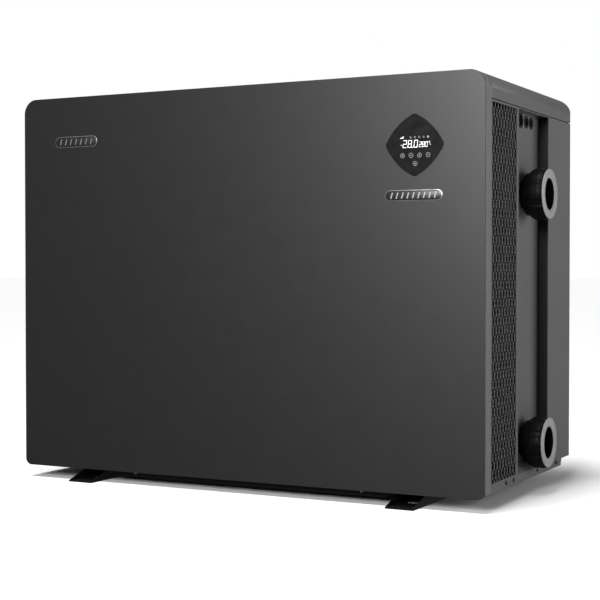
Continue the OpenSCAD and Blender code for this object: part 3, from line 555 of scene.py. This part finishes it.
def wire_guard(node, name, across, columns, rows):
    """Welded guard: upright wires over level ones, inside a thicker rim wire."""
    low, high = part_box(node)
    thick_axis = 0 if across == 1 else 1
    middle = (low + high) / 2
    rim_r = min(2.0 * MM, (high[thick_axis] - low[thick_axis]) / 2)
    wire_r = rim_r * 0.62
    lift = rim_r - wire_r
    bm = bmesh.new()

    def point(u, z, off):
        p = middle.copy()
        p[across] = u
        p.z = z
        p[thick_axis] += off
        return p

    u0, u1 = low[across] + rim_r, high[across] - rim_r
    z0, z1 = low.z + rim_r, high.z - rim_r
    corners = [(u0, z0), (u1, z0), (u1, z1), (u0, z1)]
    for a, b in zip(corners, corners[1:] + corners[:1]):
        add_rod(bm, point(*a, 0), point(*b, 0), rim_r, 10)
        bmesh.ops.create_uvsphere(bm, u_segments=10, v_segments=6, radius=rim_r,
                                  matrix=Matrix.Translation(point(*a, 0)))
    for i in range(1, columns):
        u = u0 + (u1 - u0) * i / columns
        add_rod(bm, point(u, z0, lift), point(u, z1, lift), wire_r, 8)
    for i in range(1, rows):
        z = z0 + (z1 - z0) * i / rows
        add_rod(bm, point(u0, z, -lift), point(u1, z, -lift), wire_r, 8)
    return piece(bm, name, "cabinet", ["black_paint"], [node], 40)


# ---- evaporator ----------------------------------------------------------------------


def fin_pack():
    """Thin upright fins along the left run, round the bend and along the rear run."""
    low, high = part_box("evaporator_fins")
    depth = 38 * MM
    bend_r = 62 * MM
    pitch = 2.6 * MM
    fin_t = 0.25 * MM
    tall = high.z - low.z
    mid_z = (low.z + high.z) / 2
    bm = bmesh.new()

    def fin(centre, angle):
        turn = Matrix.Rotation(angle, 4, "Z")
        size = Matrix.Diagonal((depth, fin_t, tall, 1))
        bmesh.ops.create_cube(bm, size=1, matrix=Matrix.Translation(centre) @ turn @ size)

    left_end = high.y - bend_r
    for i in range(int((left_end - low.y) / pitch)):
        fin(Vector((low.x + depth / 2, low.y + fin_t + i * pitch, mid_z)), 0)
    hub = Vector((low.x + bend_r, high.y - bend_r, mid_z))
    mid_r = bend_r - depth / 2
    turns = int(mid_r * math.pi / 2 / pitch)
    for i in range(turns):
        angle = math.pi - (i + 0.5) / turns * math.pi / 2
        fin(hub + mid_r * Vector((math.cos(angle), math.sin(angle), 0)), angle)
    for i in range(int((high.x - hub.x) / pitch)):
        fin(Vector((high.x - fin_t - i * pitch, high.y - depth / 2, mid_z)), math.pi / 2)
    return piece(bm, "fin_pack", "cabinet", ["fin_aluminium"],
                 ["evaporator_fins"])


# ---- water unions ----------------------------------------------------------------------

NUT_GROOVES = 8


def union_nut(level):
    """Nut with a stepped back, eight shallow grips, rolled rims and a lug on each land."""
    node = f"{level}_union_nut"
    low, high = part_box(node)
    centre = Vector((low.x, (low.y + high.y) / 2, (low.z + high.z) / 2))
    long = high.x - low.x
    r = (high.z - low.z) / 2
    thread_r, mouth_r = 33.9 * MM, 29.7 * MM
    shoulder = long - 9 * MM
    soft = 1.4 * MM
    step = r - 2.6 * MM
    profile = [
        (0, thread_r + 0.6 * MM), (0, step - soft), (0.4 * soft, step - 0.3 * soft),
        (soft, step), (4.2 * MM, step + 0.2 * MM), (5.4 * MM, r - 0.5 * MM), (6.6 * MM, r),
        (long * 0.45, r), (long * 0.62, r), (long - 4.6 * MM, r), (long - 3.4 * MM, r - 0.5 * MM),
        (long - 3.0 * MM, r - 1.3 * MM), (long - soft, r - 1.5 * MM), (long - 0.4 * soft, r - 2 * MM),
        (long, r - 3 * MM), (long, mouth_r + 0.8 * MM), (long - 0.8 * MM, mouth_r),
        (shoulder, mouth_r), (shoulder, thread_r), (0.6 * MM, thread_r),
    ]
    bm = bmesh.new()
    turned(bm, profile, centre, (1, 0, 0), 160)
    half_width = math.radians(9)
    for v in bm.verts:
        y, z = v.co.y - centre.y, v.co.z - centre.z
        radius = math.hypot(y, z)
        if radius < step + 0.1 * MM or v.co.x < centre.x + 5 * MM:
            continue
        angle = math.atan2(z, y)
        nearest = (angle * NUT_GROOVES / math.tau - 0.5) % 1
        off = min(nearest, 1 - nearest) * math.tau / NUT_GROOVES
        if off < half_width:
            cut = 1.9 * MM * math.cos(off / half_width * math.pi / 2) ** 0.5
            scale = (radius - cut) / radius
            v.co.y, v.co.z = centre.y + y * scale, centre.z + z * scale
    for i in range(NUT_GROOVES):
        angle = i / NUT_GROOVES * math.tau
        out = Vector((0, math.cos(angle), math.sin(angle)))
        mid = centre + Vector((long - 3.6 * MM, 0, 0)) + out * (r - 1.9 * MM)
        turn = Matrix.Rotation(angle, 4, "X")
        size = Matrix.Diagonal((2.4 * MM, 3.0 * MM, 5 * MM, 1))
        lug = bmesh.ops.create_cube(bm, size=1, matrix=Matrix.Translation(mid) @ turn @ size)["verts"]
        edges = list({e for v in lug for e in v.link_edges})
        bmesh.ops.bevel(bm, geom=edges, offset=0.5 * MM, segments=2, profile=0.5,
                        affect="EDGES", material=-1)
    return piece(bm, f"{level}_nut", f"{level}_nut_body", ["union_black"], [node])


def union_tail(level):
    """Socket tail, its outer faces in the painted-reflection grey and its bore black: rolled face ring,
    lead-in, pipe stop and flange.
    """
    node = f"{level}_tail"
    low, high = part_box(node)
    centre = Vector((low.x, (low.y + high.y) / 2, (low.z + high.z) / 2))
    long = high.x - low.x
    face_r = (high.z - low.z) / 2
    socket_r, bore_r, body_r = 25.1 * MM, 20 * MM, 29.4 * MM
    flange_r, flange_x = 32.6 * MM, 18.6 * MM
    lead = 1.6 * MM
    soft = 0.6 * MM
    profile = [
        (0, bore_r), (0, body_r - soft), (soft, body_r), (flange_x, body_r), (flange_x, flange_r),
        (flange_x + 2.4 * MM, flange_r), (flange_x + 2.4 * MM, body_r), (long - 2 * MM, body_r),
        (long - 2 * MM, face_r - soft), (long - 2 * MM + soft, face_r), (long - soft, face_r),
        (long - 0.3 * soft, face_r - 0.3 * soft), (long, face_r - soft),
        (long, socket_r + lead + 0.3 * MM), (long - 0.3 * MM, socket_r + lead), (long - lead, socket_r),
        (1.8 * MM, socket_r), (1.8 * MM, bore_r),
    ]
    bm = bmesh.new()
    turned(bm, profile, centre, (1, 0, 0), 128)
    for face in bm.faces:
        out = face.calc_center_median() - centre
        if math.hypot(out.y, out.z) < socket_r + 0.2 * MM:
            face.material_index = 1
    return piece(bm, f"{level}_socket_tail", f"{level}_tail_body",
                 ["union_grey", "union_black"], [node])


# ---- display ------------------------------------------------------------------------------

MATERIALS["lit_white"] = lit_segment("lit_white", (0.85, 0.87, 0.90), 0.75)
MATERIALS["lit_grey"] = lit_segment("lit_grey", (0.20, 0.20, 0.21), 0.25)
MATERIALS["lit_amber"] = lit_segment("lit_amber", (0.75, 0.48, 0.22), 0.35)
SEGMENTS = {"0": "abcdef", "2": "abged", "8": "abcdefg"}


def flat_bar(bm, x0, z0, x1, z1, thick, depth, material=0):
    """Thin slanted stroke on the display between two points, in millimetres."""
    start, end = at(x0, depth, z0), at(x1, depth, z1)
    along = end - start
    turn = Matrix.Rotation(-math.atan2(along.z, along.x), 4, "Y")
    size = Matrix.Diagonal((along.length + thick * MM * 0.6, 0.1 * MM, thick * MM, 1))
    lay = Matrix.Translation((start + end) / 2) @ turn @ size
    verts = bmesh.ops.create_cube(bm, size=1, matrix=lay)["verts"]
    for face in {f for v in verts for f in v.link_faces}:
        face.material_index = material


def digit(bm, text, x, z, wide, tall, thick, depth):
    """Seven-segment figure, leaning a little to the right."""
    lean = 0.12 * tall
    ends = {
        "a": (0, 1, 1, 1), "g": (0, 0.5, 1, 0.5), "d": (0, 0, 1, 0), "f": (0, 0.55, 0, 0.95),
        "b": (1, 0.55, 1, 0.95), "e": (0, 0.05, 0, 0.45), "c": (1, 0.05, 1, 0.45),
    }
    for segment in SEGMENTS[text]:
        u0, v0, u1, v1 = ends[segment]
        flat_bar(bm, x + u0 * wide + v0 * lean, z + v0 * tall, x + u1 * wide + v1 * lean,
                 z + v1 * tall, thick, depth)


def ring_mark(bm, x, z, radius, thick, depth, material=0):
    """Thin flat ring on the display."""
    centre = at(x, depth, z)
    before = set(bm.faces)
    inner, outer = (radius - thick) * MM, radius * MM
    half = 0.05 * MM
    turned(bm, [(-half, inner), (-half, outer), (half, outer), (half, inner)], centre, (0, 1, 0), 28)
    for face in set(bm.faces) - before:
        face.material_index = material


def display_marks():
    """Water temperature, set temperature, status symbols and five touch keys."""
    glass_low, glass_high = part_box("display_glass")
    depth = (glass_low.y - FACE_Y) / MM - 0.02
    mid_x = ((glass_low.x + glass_high.x) / 2 - CENTRE_X) / MM
    mid_z = ((glass_low.z + glass_high.z) / 2 - SILL_Z) / MM
    bm = bmesh.new()
    base = mid_z - 3.4
    for text, x in (("2", -18.4), ("8", -10.4), ("0", -0.8)):
        digit(bm, text, mid_x + x, base, 5.2, 10.2, 0.8, depth)
    flat_bar(bm, mid_x - 3.6, base, mid_x - 3.0, base, 1.1, depth)
    for text, x in (("2", 7.6), ("8", 12.4), ("0", 17.2)):
        digit(bm, text, mid_x + x, base + 0.3, 3.2, 7.2, 0.55, depth)
    ring_mark(bm, mid_x + 24.0, base + 7.0, 1.0, 0.4, depth)
    for x in (-21.5, 24.6):
        flat_bar(bm, mid_x + x, base + 3.6, mid_x + x + 1.6, base + 3.6, 0.6, depth)
    # status row: signal bars on the left and small rings on the right
    for i in range(4):
        flat_bar(bm, mid_x - 22.5 + i * 1.5, mid_z + 10, mid_x - 22.5 + i * 1.5, mid_z + 10.6 + i * 0.8,
                 0.7, depth)
    for i in range(5):
        ring_mark(bm, mid_x - 6 + i * 7.0, mid_z + 11.4, 1.5, 0.5, depth, 1 + i // 4)
    # touch keys
    keys = [(-19.1, -15.3), (-5.4, -15.3), (8.3, -15.3), (22.0, -15.3), (1.3, -27.6)]
    for i, (x, z) in enumerate(keys):
        ring_mark(bm, mid_x + x, mid_z + z, 3.5, 0.6, depth, 1)
        flat_bar(bm, mid_x + x - 1.5, mid_z + z, mid_x + x + 1.5, mid_z + z, 0.7, depth, 1)
        if i % 2 == 0:
            flat_bar(bm, mid_x + x, mid_z + z - 1.5, mid_x + x, mid_z + z + 1.5, 0.7, depth, 1)
    return piece(bm, "display_marks", "cabinet",
                 ["lit_white", "lit_grey", "lit_amber"])


# ---- name plates ----------------------------------------------------------------------------


def pill(bm, centre_x, centre_z, wide, tall, front, back):
    """Flat plate with round ends and a bevelled face, in millimetres from the panel."""
    r = tall / 2
    verts = []
    for side in (1, -1):
        for i in range(13):
            a = side * (math.pi / 2 - i * math.pi / 12)
            x = side * (wide / 2 - r) + side * r * math.cos(a)
            verts.append(bm.verts.new(at(centre_x + x, front, centre_z + r * math.sin(a))))
    face = bm.faces.new(verts)
    rim = face.edges[:]
    wall = bmesh.ops.extrude_face_region(bm, geom=[face])["geom"]
    moved = [v for v in wall if isinstance(v, bmesh.types.BMVert)]
    bmesh.ops.translate(bm, verts=moved, vec=(0, (back - front) * MM, 0))
    bmesh.ops.bevel(bm, geom=rim, offset=0.18 * MM, segments=2, profile=0.5, affect="EDGES",
                    material=-1)


def name_plates():
    """Two plates without lettering: a dark field, a bright rim and plain slanted bars."""
    low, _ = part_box("name_badges")
    thick = (FACE_Y - low.y) / MM
    left_x, left_z, left_w, left_h = -309.5, 552, 86, 18
    right_x, right_z, right_w, right_h = 306, 446.5, 92, 16
    bm = bmesh.new()
    for x, z, w, h in ((left_x, left_z, left_w, left_h), (right_x, right_z, right_w, right_h)):
        pill(bm, x, z, w, h, -0.42, 0)
    bmesh.ops.recalc_face_normals(bm, faces=bm.faces)
    piece(bm, "plate_rims", "cabinet", ["badge_silver"], ["name_badges"], 30)
    bm = bmesh.new()
    for x, z, w, h in ((left_x, left_z, left_w, left_h), (right_x, right_z, right_w, right_h)):
        pill(bm, x, z, w - 1.3, h - 1.3, -0.5, -0.3)
    piece(bm, "plate_fields", "cabinet", ["badge_field"], smooth=30)
    bm = bmesh.new()
    for x, z, w, h, count in ((left_x, left_z, left_w, left_h, 7), (right_x, right_z, right_w, right_h, 9)):
        span = w - h - 6
        for i in range(count):
            bar_x = x - span / 2 + span * i / (count - 1)
            flat_bar(bm, bar_x - 1.2, z - h * 0.24, bar_x + 1.2, z + h * 0.24, 2.0, 0.03 - thick)
    piece(bm, "plate_bars", "cabinet", ["badge_silver"], smooth=30)


# ---- screws ---------------------------------------------------------------------------------


# millimetres, as at() takes them
SIDE_SCREW_DEPTHS = (94.6, 129.4, 246.8, 348.3)
REAR_SCREW_XS = (192, 378.5)
SCREW_ROW_Z = 13.4
APRON_SCREW_XS = (-209, 209)
APRON_SCREW_Z = -4


def pan_head(bm, seat, out, radius, height):
    """Domed screw head with a shallow round recess, standing on its seat."""
    profile = [
        (0, 0.0001 * MM), (0, radius), (0.35 * height, radius), (0.7 * height, radius * 0.9),
        (0.92 * height, radius * 0.66), (height, radius * 0.42), (height, radius * 0.3),
        (0.45 * height, radius * 0.16), (0.45 * height, 0.0001 * MM),
    ]
    turned(bm, profile, seat, out, 16, closed=False)


def casing_screws():
    """All the cabinet's sheet-metal screws."""
    low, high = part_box("casing_screws")
    right_x, left_x = PANEL_HIGH.x, PANEL_LOW.x
    screw_r, screw_h = 3.4 * MM, 1.6 * MM
    rear_y = high.y - screw_h
    bm = bmesh.new()
    for depth in SIDE_SCREW_DEPTHS:
        p = at(0, depth, SCREW_ROW_Z)
        pan_head(bm, Vector((right_x, p.y, p.z)), (1, 0, 0), screw_r, screw_h)
        pan_head(bm, Vector((left_x, p.y, p.z)), (-1, 0, 0), screw_r, screw_h)
    for x in REAR_SCREW_XS:
        p = at(x, 0, SCREW_ROW_Z)
        pan_head(bm, Vector((p.x, rear_y, p.z)), (0, 1, 0), screw_r, screw_h)
    piece(bm, "side_screws", "cabinet", ["black_paint"], ["casing_screws"])
    bm = bmesh.new()
    apron_y = low.y + screw_h
    for x in APRON_SCREW_XS:
        p = at(x, 0, APRON_SCREW_Z)
        pan_head(bm, Vector((p.x, apron_y, p.z)), (0, -1, 0), screw_r, screw_h)
    piece(bm, "apron_screws", "cabinet", ["bright_steel"])


# ---- studio ---------------------------------------------------------------------------------

CAMERA_AT = Vector((1.09663, -2.12030, 0.35452))
CAMERA_TILT = 88.806
CAMERA_TURN = 27.498
CAMERA_LENS = 83.29


def add_camera():
    data = bpy.data.cameras.new("camera")
    data.lens = CAMERA_LENS
    data.sensor_width = 36
    camera = bpy.data.objects.new("camera", data)
    camera.location = CAMERA_AT
    camera.rotation_euler = (math.radians(CAMERA_TILT), 0, math.radians(CAMERA_TURN))
    bpy.context.scene.collection.objects.link(camera)
    bpy.context.scene.camera = camera


def softbox(name, place, aim, wide, tall, power):
    data = bpy.data.lights.new(name, "AREA")
    data.shape = "RECTANGLE"
    data.size = wide
    data.size_y = tall
    data.energy = power
    lamp = bpy.data.objects.new(name, data)
    lamp.location = place
    lamp.rotation_euler = (Vector(aim) - Vector(place)).to_track_quat("-Z", "Y").to_euler()
    bpy.context.scene.collection.objects.link(lamp)


def add_lights():
    middle = (0, 0, 0.33)
    softbox("front_box", (0.35, -3.1, 1.4), middle, 1.2, 1.1, 105)
    softbox("side_box", (3.0, 1.1, 0.8), middle, 1.6, 1.6, 56)
    sun = bpy.data.lights.new("sky_panel", "SUN")
    sun.energy = 3.4
    sun.angle = math.radians(24)
    lamp = bpy.data.objects.new("sky_panel", sun)
    lamp.rotation_euler = (math.radians(14), math.radians(-8), 0)
    bpy.context.scene.collection.objects.link(lamp)


def add_world():
    """White surround for the eye, a dimmer one for the light that it gives."""
    world = bpy.data.worlds.new("studio")
    bpy.context.scene.world = world
    world.use_nodes = True
    nodes, links = world.node_tree.nodes, world.node_tree.links
    nodes.clear()
    seen = nodes.new("ShaderNodeBackground")
    seen.inputs["Strength"].default_value = 1.0
    seen.inputs["Color"].default_value = (1, 1, 1, 1)
    given = nodes.new("ShaderNodeBackground")
    given.inputs["Strength"].default_value = 0.12
    given.inputs["Color"].default_value = (1, 1, 1, 1)
    path = nodes.new("ShaderNodeLightPath")
    mix = nodes.new("ShaderNodeMixShader")
    out = nodes.new("ShaderNodeOutputWorld")
    links.new(path.outputs["Is Camera Ray"], mix.inputs["Fac"])
    links.new(given.outputs["Background"], mix.inputs[1])
    links.new(seen.outputs["Background"], mix.inputs[2])
    links.new(mix.outputs["Shader"], out.inputs["Surface"])


def add_floor():
    """Plain pale floor, which glossy surfaces don't mirror."""
    bm = bmesh.new()
    bmesh.ops.create_grid(bm, x_segments=8, y_segments=8, size=60)
    mesh = bpy.data.meshes.new("floor")
    bm.to_mesh(mesh)
    bm.free()
    f = Finish("floor_paper", 0.9, 0, 0.1)
    f.colour(f.ramp(f.noise(3, 2), shades((0.86, 0.86, 0.86), 0.01)))
    mesh.materials.append(f.material)
    floor = bpy.data.objects.new("floor", mesh)
    bpy.context.scene.collection.objects.link(floor)
    floor.visible_glossy = False


# ---- the object -----------------------------------------------------------------------------

dress_cad_nodes()
for sheet_node in ("front_panel", "front_frame", "lid", "right_side_panel", "left_side_panel",
                   "rear_panel", "base_pan", "left_foot", "right_foot"):
    soften_edges(sheet_node, 0.5 * MM)
perforated_strip("right_grille", "right_outlet_strip", 1)
perforated_strip("left_grille", "left_outlet_strip", -1)
wire_guard("rear_guard", "rear_wire_guard", 0, 26, 10)
wire_guard("left_intake_guard", "left_wire_guard", 1, 10, 10)
fin_pack()
for union_level in ("upper", "lower"):
    union_nut(union_level)
    union_tail(union_level)
display_marks()
name_plates()
casing_screws()

add_camera()
add_lights()
add_world()
add_floor()
bpy.context.scene.view_settings.view_transform = "Standard"
